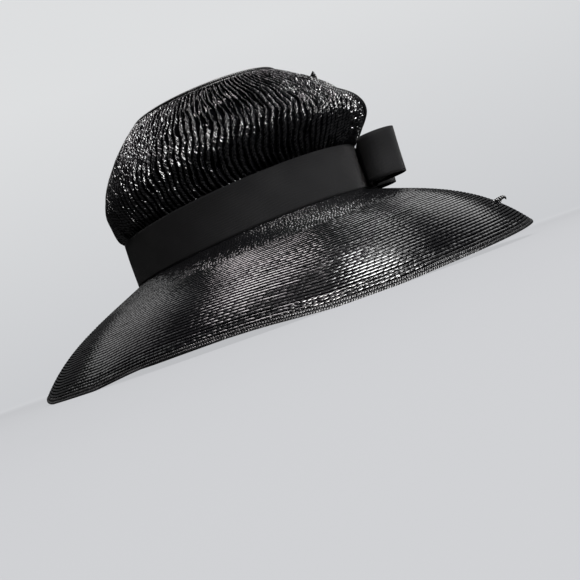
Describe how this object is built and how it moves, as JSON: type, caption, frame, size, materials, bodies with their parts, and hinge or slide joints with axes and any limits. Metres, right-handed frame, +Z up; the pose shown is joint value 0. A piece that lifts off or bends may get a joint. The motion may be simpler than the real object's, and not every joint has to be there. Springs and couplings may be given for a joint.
{
  "type": "wide-brimmed straw hat",
  "caption": "Wide-brimmed straw hat with a bell-shaped sewn brim, a puffed gathered crown, a ribbon band and a flat ribbon bow on the band.",
  "frame": {"origin": "centre of the bounding box, on the floor that the brim rests on", "axes": "+Z up through the crown, front of the hat at -Y, wearer's left at +X"},
  "size_m": [0.366, 0.398, 0.184],
  "materials": {
    "black_straw": "glossy sewn braid",
    "black_ribbon": "matte grosgrain"
  },
  "bodies": {
    "root": {"brim": "black_straw", "crown_side": "black_straw", "crown_tip": "black_straw", "tip_cord": "black_straw", "hat_band": "black_ribbon", "bow_loop_front": "black_ribbon", "bow_loop_side": "black_ribbon", "bow_knot": "black_ribbon", "crown_straw_end": "black_straw", "brim_straw_end": "black_straw"}
  },
  "joints": []
}
